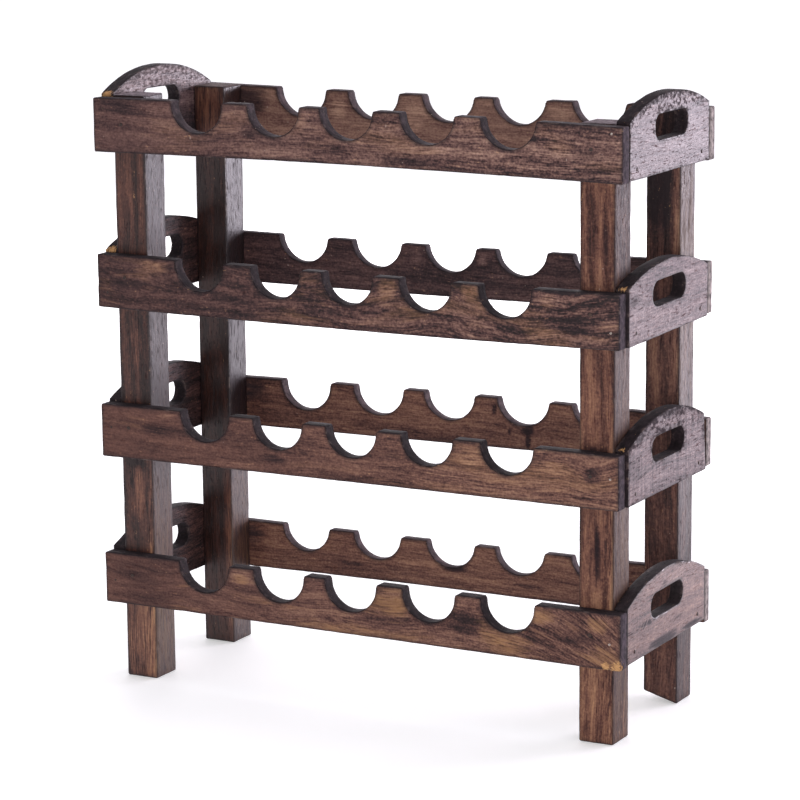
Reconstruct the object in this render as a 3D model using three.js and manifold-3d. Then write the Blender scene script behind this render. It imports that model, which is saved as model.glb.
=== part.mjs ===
// Rustic wooden wine rack: four trays of notched rails on four corner posts.
// Each tray has a front rail, a back rail and two arched end panels with hand holes.
// The panels stand between the rails, and both are nailed to posts in the tray's inner corners.
// Millimetres, +Z up, +X to the rack's right, front towards -Y, origin on the floor under the middle.
import * as THREE from 'three';
import { mergeVertices } from 'three/addons/utils/BufferGeometryUtils.js';
import Module from 'manifold-3d';

// Trays
const tierCount = 4;
const tierPitch = 181.4;
const lowestTierHeight = 95;
const rackDepth = 258;

// Rails and their bottle notches
const railHeight = 60.5;
const railThickness = 17.5;
const railLeftMargin = 109.5;
const railRightMargin = 104.5;
const notchCount = 5;
const notchPitch = 100;
const notchRadius = 34;
const notchDepth = 31;
const toothRounding = 4;

// End panels and their hand holes
const panelThickness = 16.5;
const panelEdgeRise = 5;
const panelArchRise = 25;
const handHoleLength = 90;
const handHoleHeight = 28;
const handHoleCentreHeight = 52;

// Posts
const postWidth = 43;
const postDepth = 42;
const postTopRise = 2.5;

// Nails, and the joints' glue line
const nailLength = 40;
const nailShankRadius = 1.1;
const nailHeadRadius = 2.2;
const nailHeadThickness = 1;
const nailClearance = 0.3;
const railNailHeight = 36;
const panelNailHeight = 12;
const glueLine = 0.3;

// Steps of the round stretches
const notchSteps = 14;
const toothRoundingSteps = 3;
const archSteps = 16;
const handHoleEndSteps = 8;
const nailSides = 8;

// Sizes that follow from the ones above
const notchCentreRise = notchRadius - notchDepth;
const notchHalfWidth = Math.sqrt(notchRadius ** 2 - notchCentreRise ** 2);
const notchRowLength = (notchCount - 1) * notchPitch + 2 * notchHalfWidth;
const railLength = railLeftMargin + notchRowLength + railRightMargin;
const panelLength = rackDepth - 2 * (railThickness + glueLine);
const panelEdgeHeight = railHeight + panelEdgeRise;
const postX = railLength / 2 - panelThickness - glueLine - postWidth / 2;
const postY = rackDepth / 2 - railThickness - glueLine - postDepth / 2;
const tierHeights = Array.from({ length: tierCount }, (_, tier) => lowestTierHeight + tier * tierPitch);
const postHeight = tierHeights.at(-1) + railHeight + postTopRise;

const sides = { left: -1, right: 1 };
const faces = { front: -1, back: 1 };

const wasm = await Module();
wasm.setup();

// Points along a circular arc, both ends included; angles in radians, anticlockwise from the first axis
function arcPoints(centreX, centreY, radius, startAngle, endAngle, steps) {
  return Array.from({ length: steps + 1 }, (_, i) => {
    const angle = startAngle + ((endAngle - startAngle) * i) / steps;
    return new THREE.Vector2(centreX + radius * Math.cos(angle), centreY + radius * Math.sin(angle));
  });
}

// A closed geometry with positions only, its shared corners merged
function bareGeometry(geometry) {
  const bare = geometry.clone();
  bare.deleteAttribute('normal');
  bare.deleteAttribute('uv');
  return mergeVertices(bare);
}

function toSolid(geometry) {
  const bare = bareGeometry(geometry);
  const mesh = new wasm.Mesh({
    numProp: 3,
    vertProperties: new Float32Array(bare.getAttribute('position').array),
    triVerts: new Uint32Array(bare.getIndex().array),
  });
  return new wasm.Manifold(mesh);
}

function toGeometry(solid) {
  const mesh = solid.getMesh();
  const geometry = new THREE.BufferGeometry();
  geometry.setAttribute('position', new THREE.BufferAttribute(mesh.vertProperties, 3));
  geometry.setIndex(new THREE.BufferAttribute(mesh.triVerts, 1));
  geometry.computeVertexNormals();
  return geometry;
}

function bored(geometry, cutters) {
  return toGeometry(cutters.reduce((solid, cutter) => solid.subtract(toSolid(cutter)), toSolid(geometry)));
}

// One half-round notch in the rail's top edge, from its left tooth's corner to its right tooth's
function notchPoints(centreX) {
  const centreHeight = railHeight + notchCentreRise;
  const roundingHeight = railHeight - toothRounding;
  const reach = Math.sqrt((notchRadius + toothRounding) ** 2 - (notchCentreRise + toothRounding) ** 2);
  const lean = Math.atan2(notchCentreRise + toothRounding, reach);
  const leftCorner = arcPoints(
    centreX - reach, roundingHeight, toothRounding, Math.PI / 2, lean, toothRoundingSteps);
  const hollow = arcPoints(centreX, centreHeight, notchRadius, Math.PI + lean, 2 * Math.PI - lean, notchSteps);
  const rightCorner = arcPoints(
    centreX + reach, roundingHeight, toothRounding, Math.PI - lean, Math.PI / 2, toothRoundingSteps);
  return [...leftCorner, ...hollow.slice(1, -1), ...rightCorner];
}

// A rail lying along X with its bottom at height 0 and its thickness centred on Y
function railGeometry() {
  const half = railLength / 2;
  const firstNotch = railLeftMargin + notchHalfWidth - half;
  const notches = Array.from({ length: notchCount }, (_, i) => notchPoints(firstNotch + i * notchPitch)).flat();
  const outline = new THREE.Shape([
    new THREE.Vector2(-half, 0),
    new THREE.Vector2(-half, railHeight),
    ...notches,
    new THREE.Vector2(half, railHeight),
    new THREE.Vector2(half, 0),
  ]);
  const geometry = new THREE.ExtrudeGeometry(outline, { depth: railThickness, bevelEnabled: false });
  geometry.rotateX(Math.PI / 2);
  geometry.translate(0, railThickness / 2, 0);
  return geometry;
}

// An end panel lying along Y with its bottom at height 0 and its thickness centred on X
function panelGeometry() {
  const half = panelLength / 2;
  const archRadius = (half ** 2 + panelArchRise ** 2) / (2 * panelArchRise);
  const archCentreHeight = panelEdgeHeight + panelArchRise - archRadius;
  const archHalfAngle = Math.asin(half / archRadius);
  const arch = arcPoints(
    0, archCentreHeight, archRadius, Math.PI / 2 - archHalfAngle, Math.PI / 2 + archHalfAngle, archSteps);
  const outline = new THREE.Shape([new THREE.Vector2(-half, 0), new THREE.Vector2(half, 0), ...arch]);
  const endRadius = handHoleHeight / 2;
  const endCentre = handHoleLength / 2 - endRadius;
  const quarter = Math.PI / 2;
  outline.holes.push(new THREE.Path([
    ...arcPoints(endCentre, handHoleCentreHeight, endRadius, -quarter, quarter, handHoleEndSteps),
    ...arcPoints(-endCentre, handHoleCentreHeight, endRadius, quarter, 3 * quarter, handHoleEndSteps),
  ]));
  const geometry = new THREE.ExtrudeGeometry(outline, { depth: panelThickness, bevelEnabled: false });
  geometry.rotateX(Math.PI / 2);
  geometry.rotateZ(Math.PI / 2);
  geometry.translate(-panelThickness / 2, 0, 0);
  return geometry;
}

function postGeometry() {
  const geometry = new THREE.BoxGeometry(postWidth, postDepth, postHeight);
  geometry.translate(0, 0, postHeight / 2);
  return geometry;
}

// A nail along the turning axis, its head's top at 0 and its tip below; clearance makes it the hole's cutter
function nailGeometry(clearance = 0) {
  const headTop = clearance;
  const headBottom = -nailHeadThickness - clearance;
  const tip = -nailLength - clearance;
  const profile = [
    new THREE.Vector2(0, tip),
    new THREE.Vector2(nailShankRadius + clearance, tip),
    new THREE.Vector2(nailShankRadius + clearance, headBottom),
    new THREE.Vector2(nailHeadRadius + clearance, headBottom),
    new THREE.Vector2(nailHeadRadius + clearance, headTop),
    new THREE.Vector2(0, headTop),
  ];
  return bareGeometry(new THREE.LatheGeometry(profile, nailSides));
}

// Where every nail stands: its head's middle, and the outward direction that its head faces
function nailPlaces() {
  const places = [];
  tierHeights.forEach((height, tier) => {
    for (const [face, ySign] of Object.entries(faces)) {
      for (const [side, xSign] of Object.entries(sides)) {
        const corner = `tier_${tier + 1}_${face}_${side}`;
        places.push({
          name: `${corner}_rail_nail`,
          board: `tier_${tier + 1}_${face}_rail`,
          post: `${face}_${side}_post`,
          head: new THREE.Vector3(xSign * postX, (ySign * rackDepth) / 2, height + railNailHeight),
          outward: new THREE.Vector3(0, ySign, 0),
        });
        places.push({
          name: `${corner}_panel_nail`,
          board: `tier_${tier + 1}_${side}_end_panel`,
          post: `${face}_${side}_post`,
          head: new THREE.Vector3((xSign * railLength) / 2, ySign * postY, height + panelNailHeight),
          outward: new THREE.Vector3(xSign, 0, 0),
        });
      }
    }
  });
  return places;
}

const nails = nailPlaces();
const latheAxis = new THREE.Vector3(0, 1, 0);

// The holes of the nails that pass through or into a piece, seen from the piece's own origin
function nailHoles(pieceName, origin) {
  return nails
    .filter((nail) => nail.board === pieceName || nail.post === pieceName)
    .map((nail) => {
      const cutter = nailGeometry(nailClearance);
      cutter.applyQuaternion(new THREE.Quaternion().setFromUnitVectors(latheAxis, nail.outward));
      cutter.translate(nail.head.x - origin.x, nail.head.y - origin.y, nail.head.z - origin.z);
      return cutter;
    });
}

function stainedWood(colour) {
  return new THREE.MeshStandardMaterial({ color: colour, roughness: 0.6, metalness: 0 });
}

const rack = new THREE.Group();

function addWood(name, geometry, origin, colour) {
  const piece = new THREE.Mesh(bored(geometry, nailHoles(name, origin)), stainedWood(colour));
  piece.name = name;
  piece.position.copy(origin);
  rack.add(piece);
}

function addPosts() {
  for (const [face, ySign] of Object.entries(faces)) {
    for (const [side, xSign] of Object.entries(sides)) {
      const origin = new THREE.Vector3(xSign * postX, ySign * postY, 0);
      addWood(`${face}_${side}_post`, postGeometry(), origin, '#5f4033');
    }
  }
}

function addTray(tier, height) {
  for (const [face, ySign] of Object.entries(faces)) {
    const origin = new THREE.Vector3(0, (ySign * (rackDepth - railThickness)) / 2, height);
    addWood(`tier_${tier}_${face}_rail`, railGeometry(), origin, '#65473a');
  }
  for (const [side, xSign] of Object.entries(sides)) {
    const origin = new THREE.Vector3((xSign * (railLength - panelThickness)) / 2, 0, height);
    addWood(`tier_${tier}_${side}_end_panel`, panelGeometry(), origin, '#6d5348');
  }
}

function addNails() {
  for (const nail of nails) {
    const steel = new THREE.MeshStandardMaterial({ color: '#4a4643', roughness: 0.45, metalness: 0.9 });
    const piece = new THREE.Mesh(nailGeometry(), steel);
    piece.name = nail.name;
    piece.position.copy(nail.head);
    piece.quaternion.setFromUnitVectors(latheAxis, nail.outward);
    rack.add(piece);
  }
}

addPosts();
tierHeights.forEach((height, tier) => addTray(tier + 1, height));
addNails();

export default rack;
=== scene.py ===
"""Looks of the rustic wooden wine rack, in metres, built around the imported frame.

Every board is rebuilt with worn arrises, uneven faces, chips and nail dents, and is cut from its own piece
of stained wood. Each board's own x axis runs along its grain, so one wood recipe serves every board.
"""
import math
from types import SimpleNamespace as Values

import bpy
import numpy as np
from mathutils import Matrix, Vector, noise


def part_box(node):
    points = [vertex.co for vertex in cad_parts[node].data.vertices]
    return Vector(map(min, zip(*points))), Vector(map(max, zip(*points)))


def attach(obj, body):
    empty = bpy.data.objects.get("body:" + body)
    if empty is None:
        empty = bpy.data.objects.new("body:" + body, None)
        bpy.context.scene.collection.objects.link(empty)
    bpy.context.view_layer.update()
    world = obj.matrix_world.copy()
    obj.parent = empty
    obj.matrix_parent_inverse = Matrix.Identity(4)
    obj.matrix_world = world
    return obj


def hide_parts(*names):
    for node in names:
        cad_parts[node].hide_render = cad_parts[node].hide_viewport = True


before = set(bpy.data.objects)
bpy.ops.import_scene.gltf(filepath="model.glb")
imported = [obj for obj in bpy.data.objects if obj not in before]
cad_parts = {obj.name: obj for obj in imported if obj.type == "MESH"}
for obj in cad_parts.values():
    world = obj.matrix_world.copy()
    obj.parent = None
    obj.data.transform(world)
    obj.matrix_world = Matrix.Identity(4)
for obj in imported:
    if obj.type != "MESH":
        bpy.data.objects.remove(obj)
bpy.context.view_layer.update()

MM = 0.001
FACES = {"front": -1, "back": 1}
SIDES = {"left": -1, "right": 1}
TIER_COUNT = sum(node.endswith("front_rail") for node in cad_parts)

# Rail notches, at the places of the frame's, and the rounding of the teeth between them
NOTCH_COUNT = 5
NOTCH_PITCH = 100 * MM
FIRST_NOTCH = 143.4 * MM
TOOTH_ROUNDING = 2.5 * MM

# Each rail was cut by hand. In millimetres: how far its upper and lower edges lie above the frame's at the
# left end, the middle and the right end, its notches' radius, their depth at either end, each notch's shift
# to the right, how much thinner the board is, and how much its right end is cut back
RAIL_CUTS = {
    "tier_4_front_rail": dict(
        top=(6.0, 6.0, 1.1), bottom=(1.9, 3.3, -1.2), radius=33.7, depth=(36.5, 33),
        shifts=(-1, 1.4, -3.4, -0.7, 0)),
    "tier_3_front_rail": dict(
        top=(2.2, -0.3, -0.5), bottom=(-1.6, -4.4, -2.4), radius=32.5, depth=(35, 35.6),
        shifts=(-1.8, 0.9, -4.5, -4.1, -4.5), trim=3),
    "tier_2_front_rail": dict(
        top=(2.5, 2.4, 1.0), bottom=(-1.7, -0.8, -1.2), radius=32.7, depth=(34.2, 34.2),
        shifts=(1.5, 0.5, -1.8, -3.7, -2.5), trim=3),
    "tier_1_front_rail": dict(
        top=(1.3, 2.3, 2.3), bottom=(-0.4, -1.0, -2.5), radius=33.6, depth=(35.6, 36.6),
        shifts=(-3.7, -1, -4.8, -2.9, -2.2)),
    "tier_4_back_rail": dict(
        top=(1.7, -1.0, 0.0), bottom=(-1.5, -1.5, -1.5), radius=34.5, depth=(34, 29),
        shifts=(0.7, 1, 2.2, -3.3, 0), thin=1.5),
    "tier_3_back_rail": dict(
        top=(1.1, -0.9, 3.1), bottom=(-1.7, -1.9, 1.7), radius=34, depth=(32, 30),
        shifts=(1, 3.4, 4.5, -1.2, 0), thin=4.5),
    "tier_2_back_rail": dict(
        top=(-3.5, 1.0, -0.7), bottom=(-3.7, -0.9, 2.4), radius=34.3, depth=(35.8, 30),
        shifts=(1.8, 4.1, 1.4, 0.9, 0), thin=3),
    "tier_1_back_rail": dict(
        top=(-5.2, -4.3, -1.5), bottom=(-5.5, -2.2, -4.5), radius=32.8, depth=(31, 30),
        shifts=(-1.3, 0.1, 1.9, -3.9, -2), thin=4.5),
}

# End panels, as in the frame: the rise of the arch's ends above the rails, and the hand hole
PANEL_EDGE_RISE = 5 * MM
HAND_HOLE_HEIGHT = 28 * MM
HAND_HOLE_CENTRE = 52 * MM

# Shapes of the panels, in millimetres: the arch's rise above the rails, how much the top of the far end is
# cut back and raised, how much the near end is raised, the hand hole's length and its shifts away from the
# front and upwards, and the radius of its corners
PLAIN_PANEL = dict(arch=30, back_slant=0, back_rise=0, front_lift=0, hole_corner=13.5)
PANEL_SHAPES = {
    "left_panel": dict(hole=(80, -5, 0)),
    "right_panel": dict(hole=(90, 0, 0)),
    "tier_4_left_end_panel": dict(arch=33, front_lift=4),
    "tier_4_right_end_panel": dict(arch=28, back_rise=2.5, hole=(88, 3, 0), hole_corner=11.5),
    "tier_3_right_end_panel": dict(arch=26, back_rise=-3.5, front_lift=-2, hole=(90, 0, -3)),
    "tier_2_right_end_panel": dict(back_rise=3, back_slant=7),
}

# Posts sawn askew: how much one side of the foot is lifted, and how much taller the post is
FOOT_SLANTS = {"back_right_post": 12 * MM}
POST_TOP_RISES = {"front_left_post": 6 * MM}

# How a board takes the stain unless its kind or the board itself has a look of its own
PLAIN_WOOD = dict(
    # On some boards the tone and contrast also carry painted shade
    tone=0.0,  # how much lighter the stain is
    contrast=1.0,  # strength of the grain
    calm=0.0,  # how much weaker the grain is towards the board's start
    warm=0.5,  # from purple at 0 to red brown at 1
    figure=0.5,  # strength of the growth rings
    wave=0.03,  # how far the grain wanders
    dark=0.4,  # amount of blackened patches, pores and cracks
    gold=0.0,  # strength of golden patches
    mottle=0.0,  # strength of the black mottling along a panel's arch
    fleck=1.0,  # strength of short marks along the fibres
    speckle=1.0,  # strength of the finest specks
    saw=0.0,  # strength of the saw's lines across the grain
    sweep=0.0,  # how fast the grain turns down near the board's end
    groove=0.35,  # depth of the grain
    haze=0.7,  # smoothness of the finish
    shine=0.3,  # strength of its reflections
    sawn_tint=(32, 25, 28),  # edges sawn along the grain
    end_tint=(34, 27, 30),  # end grain
)

# Looks of each kind of board, and of single boards
LOOKS = {
    "post": dict(
        figure=1.0, haze=0.4, warm=1.0, contrast=0.8, shine=0.28, dark=0.2, fleck=0.4, speckle=0.6,
        groove=0.7, end_tint=(112, 101, 105)),
    "front_rail": dict(figure=0.6, gold=0.25, shine=0.22, dark=0.1, calm=0.55, end_tint=(56, 48, 54)),
    "back_rail": dict(
        warm=0.6, contrast=0.7, shine=0.22, dark=0.1, sawn_tint=(58, 47, 50), end_tint=(120, 112, 110)),
    # The lower left panels are darker as painted shade on their inner faces
    "left_panel": dict(contrast=0.8, haze=0.5, tone=-0.12),
    "right_panel": dict(
        contrast=0.62, warm=-0.35, haze=0.8, tone=0.03, speckle=1.1, shine=0.29, dark=0.2, saw=0.15),
    "front_left_post": dict(tone=-0.14, warm=1.3, haze=0.85, contrast=0.5, shine=0.41, dark=0.3),
    "front_right_post": dict(contrast=0.75, warm=1.1, shine=0.2),
    # The back left post is darker and its grain calmer, partly as painted shade on its front face deep
    # inside the rack
    "back_left_post": dict(
        tone=-0.19, warm=1.3, haze=0.95, contrast=0.3, shine=0.46, dark=0.7, end_tint=(76, 62, 60)),
    "back_right_post": dict(tone=-0.05, warm=0.9, contrast=0.7, haze=0.6, dark=0.4),
    "tier_4_front_rail": dict(contrast=1.25, warm=0.3, tone=0.03, dark=0.2, sawn_tint=(48, 40, 43)),
    "tier_3_front_rail": dict(wave=0.08, gold=0.4, figure=0.9, tone=-0.07, warm=0.4, contrast=1.1),
    "tier_2_front_rail": dict(warm=0.75, gold=0.3, contrast=0.85),
    "tier_1_front_rail": dict(wave=0.06, figure=0.5, gold=0.8, warm=0.7, contrast=0.95, sweep=2.4),
    "tier_4_back_rail": dict(tone=0.15, warm=0.5),
    "tier_3_back_rail": dict(tone=-0.05, warm=0.1, contrast=0.6, sawn_tint=(44, 36, 40)),
    "tier_2_back_rail": dict(warm=0.85, tone=0.04),
    "tier_1_back_rail": dict(warm=0.85, tone=0.05),
    "tier_4_left_end_panel": dict(mottle=0.55, warm=-0.3, haze=0.95, tone=0.1, shine=0.44, saw=0.4),
    "tier_4_right_end_panel": dict(mottle=0.95, contrast=0.5, speckle=0.8, shine=0.24),
    "tier_3_right_end_panel": dict(haze=0.5, shine=0.23),
    "tier_2_right_end_panel": dict(
        mottle=0.9, haze=0.55, shine=0.18, contrast=0.55, saw=0.6, tone=0.0, dark=0.3),
    "tier_1_right_end_panel": dict(haze=0.95, tone=0.06, warm=0.1, contrast=0.65),
}

# Blotches, knots and drips where the stain came out darker or lighter, broad marks that only make a stretch
# of a board darker or lighter, and marks of painted light and shade on the posts and the top left panel:
# how light, then in millimetres on the board the place along the grain, across it and the radius, and how
# much longer the mark is along the grain. The round dark ones are knots
MARKS = {
    "tier_4_front_rail": [
        (-0.6, -300, 57, 12, 4), (-0.5, -125, 37, 12, 1.5), (-0.9, 75, 11, 6, 8), (-1, 300, 31, 8, 3),
        (0.7, -60, 52, 14, 1), (0.8, 105, 24, 5, 6), (0.7, 265, 36, 14, 1.5), (-0.3, -310, 20, 40, 2)],
    "tier_3_front_rail": [
        (-0.45, -300, 29, 10, 3), (-0.9, -40, 14, 7, 5), (-0.7, 205, 12, 8, 3), (-0.8, 280, 25, 13, 3),
        (-0.35, -185, 15, 30, 3), (0.4, 210, 8, 20, 4), (0.7, -265, 50, 14, 2), (1, 50, 48, 15, 1),
        (1, 155, 53, 14, 1), (0.8, 250, 46, 10, 1.5)],
    "tier_2_front_rail": [
        (-0.35, -265, 36, 12, 2), (-0.7, -105, 17, 6, 4), (-1.3, 305, 37, 11, 1.2), (0.7, -250, 58, 9, 2),
        (0.8, 155, 41, 15, 1.2), (0.9, 260, 39, 13, 1.8), (-0.3, -180, 20, 50, 4), (0.55, 220, 20, 50, 3)],
    "tier_1_front_rail": [
        (-0.45, -290, 40, 45, 1.6), (-0.6, 145, 30, 19, 1.3), (-0.8, 290, 30, 10, 2.5),
        (0.8, -150, 54, 14, 1.1), (0.4, 55, 38, 15, 1.5), (1.3, 235, 50, 12, 2.5), (1.1, 315, 50, 13, 1.5),
        (0.4, 320, 12, 12, 2), (0.6, -25, 15, 25, 3), (0.6, 200, 15, 18, 2)],
    # The top back rail: darker at its left end and lighter in three places along its upper part
    "tier_4_back_rail": [
        (-1.2, -275, 43, 24, 1.5), (0.9, -145, 36, 18, 0.8), (0.8, -40, 32, 18, 1), (0.9, 150, 42, 18, 1)],
    "tier_3_back_rail": [(0.8, -40, 43, 9, 1), (0.8, 50, 47, 11, 0.8)],
    "tier_2_back_rail": [
        (-0.9, -275, 40, 22, 1.3), (-1.6, 65, 47, 8, 0.5), (-1.5, 85, 21, 5, 0.6), (-1.6, 110, 26, 9, 1.2),
        (-1.6, 110, 12, 10, 0.5)],
    "tier_1_back_rail": [
        (-0.9, -275, 37, 20, 1.3), (-0.9, -135, 15, 4, 7), (-1, 10, 25, 6, 4), (-0.8, 110, 14, 4, 7)],
    # The front left post: its foot lighter as painted light from the floor, a dark band just below the
    # tier_2 rails as painted shade, and the lower part of its right face lighter as painted light from the
    # side
    "front_left_post": [
        (0.8, 410, 2, 11, 3), (1.1, 230, -2, 13, 3), (1, 50, 0, 60, 1.5), (-1, 268, -2, 16, 0.6),
        (2.2, 120, 24, 14, 12)],
    # The front right post: its foot lighter as painted light from the floor, a dark band just above the
    # tier_2 front rail as painted shade, and its right face lighter as painted light from the side
    "front_right_post": [
        (-0.9, 590, -1, 5, 9), (-0.7, 575, 9, 5, 9), (-1, 338, -2, 18, 0.5), (-1.4, 215, 1, 5, 9),
        (0.5, 50, 0, 60, 1.5), (1.2, 200, 25, 14, 28)],
    # The back left post: its foot lighter as painted light from the floor, and the lower part of its right
    # face lighter as painted light from the side
    "back_left_post": [(0.3, 50, 0, 60, 1.5), (1.2, 690, 0, 60, 1), (2.2, 120, 24, 14, 12)],
    # The back right post: the upper part of its right face lighter as painted light from the side
    "back_right_post": [(-1.1, 650, 0, 60, 2), (0.9, 410, -9, 11, 4), (2.5, 560, 25, 14, 20)],
    # The top left panel: its lower part darker as painted shadow
    "tier_4_left_end_panel": [(-1.2, 40, 4, 42, 3)],
    "tier_4_right_end_panel": [(-0.8, -40, 82, 5, 5), (-0.6, 74, 68, 4, 6)],
    "tier_3_right_end_panel": [(-0.6, -96, 50, 14, 1.3)],
    "tier_2_right_end_panel": [(-0.8, -15, 87, 6, 8), (-0.7, -85, 74, 6, 4)],
    "tier_1_right_end_panel": [
        (-1.6, -10, 7, 7, 7), (-1.4, 70, 5, 5, 7), (-1.4, -60, 36, 3, 10), (-1.3, 40, 22, 3, 14),
        (-0.9, -10, 73, 6, 2), (-0.9, -80, 73, 8, 1.3)],
}

# Places where the stained surface has broken off: a point on the rack and a radius, in millimetres
CHIPS = {
    "tier_4_left_end_panel": [(-333, -110, 707, 9)],
    "tier_3_left_end_panel": [(-333, -110, 523, 9)],
    "tier_3_right_end_panel": [(333, -111, 523, 6)],
    "tier_2_right_end_panel": [(333, -111, 342, 4)],
    "tier_1_front_rail": [(336, -129, 97, 9), (322, -129, 97, 7)],
}

# Worn edges and corners; each size is the length over which the wear varies
ARRIS = 0.9 * MM
ARRIS_SPREAD = 0.5
ARRIS_SIZE = 17 * MM
ARRIS_INSET = 0.3
CHATTER = 0.15 * MM
CHATTER_SIZE = 11 * MM
CORNER = 2.0 * MM
EDGE_WEAR = 0.9 * MM
EDGE_WEAR_START = 0.15
EDGE_WEAR_SIZE = 14 * MM
RIM_WIDTH = 14 * MM

# Uneven faces, nail dents and chips
UNEVENNESS = 0.35 * MM
UNEVENNESS_SIZE = 28 * MM
UNEVENNESS_STRETCH = 4
DENT_RADIUS = 4.5 * MM
DENT_DEPTH = 0.5 * MM
CHIP_DEPTH = 1.2 * MM
CHIP_FACE_SHARE = 0.25

# Points of the meshes: their spacing, and the steps of the round stretches
FACE_STEP = 4 * MM
EDGE_STEP = 3 * MM
POST_STEP = 2 * FACE_STEP
WALL_STEP = 1.6 * FACE_STEP
TOOTH_STEPS = 4
NOTCH_STEPS = 26
ARCH_STEPS = 80
CORNER_STEPS = 3
PANEL_RINGS = (0, 0.06, 0.16, 0.28, 0.4, 0.52, 0.64, 0.76, 0.87, 0.95, 1)
FOOT_SLANT_POWER = 8

# Where each board is cut from the noises that wear and colour it: its seed times these steps
WEAR_SEED_STEPS = (7.13, 3.71, 5.37)
WOOD_SEED_STEPS = (1.37, 0.83, 0.59)

# Nails through the rails into the end panels: distance from the middle, and height on each tier's rail
END_NAIL_X = 327 * MM
END_NAIL_HEIGHTS = (28 * MM, 35 * MM, 17 * MM, 54 * MM)
END_NAIL_RADIUS = 1.4 * MM

# Nails through the rails and panels into the posts, and the shank of every nail
POST_NAIL_RADIUS = 2.2 * MM
NAIL_SHANK = 1.1 * MM
NAIL_TIP = 0.1 * NAIL_SHANK
NAIL_LENGTH = 36 * MM
NAIL_TAPER_START = 0.92
NAIL_SIDES = 12

# Heads, as shares of their radius: levels of the neck, underside, edge and crown, and the crown's radius
NAIL_HEAD_LEVELS = (-0.6, -0.4, 0.1, 0.24)
NAIL_CROWN = 0.7

# How far off a board's box a nail's head may lie and still dent the board
NAIL_FIT = 1 * MM

# Knots, and how the grain bends round them
KNOT_ROUNDNESS = 1.2
KNOT_REACH = 3.0
KNOT_BEND = 0.8

# Where along a board its grain begins to sweep down, and where a calm board's grain is weakest and full
SWEEP_START = 170 * MM
CALM_SPAN = (-300 * MM, 200 * MM)

# Layers of noise in the wood: features per metre along the grain and across it, detail and roughness. Those
# of the first table follow the grain's bends
GRAIN_LAYERS = dict(
    streaks=(8, 150, 3.0, 0.6), fibres=(30, 500, 2.0, 0.6), flecks=(110, 460, 1.0, 0.5),
    patches=(7, 34, 1.5, 0.5), stains=(10, 70, 3.0, 0.5), gilding=(7, 30, 3.0, 0.55),
    pores=(90, 560, 2.0, 0.55))
FLAT_LAYERS = dict(
    specks=(380, 460, 1.0, 0.5), saw_lines=(260, 12, 2.0, 0.55), rubbing=(70, 160, 3.0, 0.55),
    dust=(260, 260, 0.0, 0.55))
DRIFT = (4, 9, 2.0, 0.5)
MOTTLING = (140, 240, 4.0, 0.6)

# Values of a board's points that its wood is mixed from too
BOARD_ATTRIBUTES = ("lightness", "rim", "sawn", "arris", "bare")

# Growth rings about a pith beside the board, at one of three distances and slightly askew
RINGS = {"Scale": 30.0, "Distortion": 3.5, "Detail": 3.0, "Detail Scale": 7.0}
PITH = Values(nearest=0.03, step=0.02, places=3, height=0.05, tilt=(0, 0.03, 0.05))

# How strongly each layer lightens and darkens the wood
GRAIN_WEIGHTS = dict(
    streaks=0.45, fibres=0.5, flecks=0.3, specks=0.4, patches=0.4, rings=0.16, saw_lines=1.0)

# The stain's colours from dark to light, in purple and in red brown, and the shades that they stand at
PURPLE_STAIN = ((27, 19, 22), (54, 38, 40), (84, 61, 60), (122, 96, 90), (156, 128, 120))
RED_STAIN = ((32, 18, 17), (66, 40, 35), (100, 66, 55), (140, 102, 80), (174, 134, 102))
STAIN_SHADES = (0.28, 0.4, 0.52, 0.7, 0.9)
MIDDLE_SHADE = 0.5

# What happens to the stained wood. Each effect is mixed from layers by their weights, and sets in over a
# span of that mix. Some grow with how dark the board is
MARK_UPTAKE = Values(span=(0.7, 1.3), most=0.28)
GOLD = Values(
    streaks=0.5, marks=0.3, span=(0.79, 1.02), fibre_span=(0.36, 0.6), least=0.3, tint=(142, 104, 70))
PITS = Values(
    pore_span=(0.28, 0.4), pore_growth=0.06, crack_span=(0.25, 0.3), crack_growth=0.1, share=0.15,
    share_growth=0.5, tint=(30, 22, 24))
BLACK = Values(fibres=0.4, span=(0.95, 1.1), growth=0.25, most=0.7, tint=(36, 28, 32))
KNOTS_AND_DARK_HEARTS = Values(fibres=0.8, stains=-2.0, span=(-2.8, -2.25), most=0.65)
MOTTLE = Values(heights=(30 * MM, 90 * MM), rise=0.19, rim=0.16, span=(0.68, 0.84))
RIM = Values(stains=0.5, span=(0.9, 1.25), most=0.8, tint=(32, 23, 26))
SAWN = Values(span=(0.2, 0.9), end_span=(1.1, 1.7), most=0.92, scuffs=(0.35, 0.7), dim=0.75, bright=1.4)
# Arrises darken, and where they are rubbed they turn paler, partly as a painted highlight along the edges
ARRISES = Values(share=0.5, tint=(34, 26, 30), rub_span=(0.54, 0.68), rub=0.6, rubbed=(112, 96, 90))
DUST = Values(span=(0.87, 0.9), most=0.6, tint=(160, 140, 130))
BARE = Values(specks=1.2, span=(1.6, 2.1), dim=(140, 94, 54), bright=(212, 168, 116))

# The finish: its roughness without haze, and how haze, specks, sawn edges and dark spots change it
GLOSS = Values(dull=0.62, haze=0.3, speck_span=(1.1, 1.9), specks=0.24, sawn=0.7, spots=0.5, saw=2)
GROOVES = Values(fibres=0.6, streaks=0.5, flecks=0.5, depth=0.8 * MM)

# The nails' iron, with its tints from dark to light
RUST = (700, 700, 4.0, 0.65)
STEEL = Values(
    stops=(0.35, 0.52, 0.68), rust_span=(0.3, 0.7), roughness=(0.45, 0.7), bump=0.4, depth=0.3 * MM,
    metal=0.4)
STAINED_STEEL = ((32, 25, 25), (56, 43, 40), (84, 58, 46))
# Rubbed steel for the right-hand end nails, pale enough to be partly a painted glint on their heads
RUBBED_GLINTING_STEEL = ((96, 82, 72), (160, 148, 140), (206, 196, 188))

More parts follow.
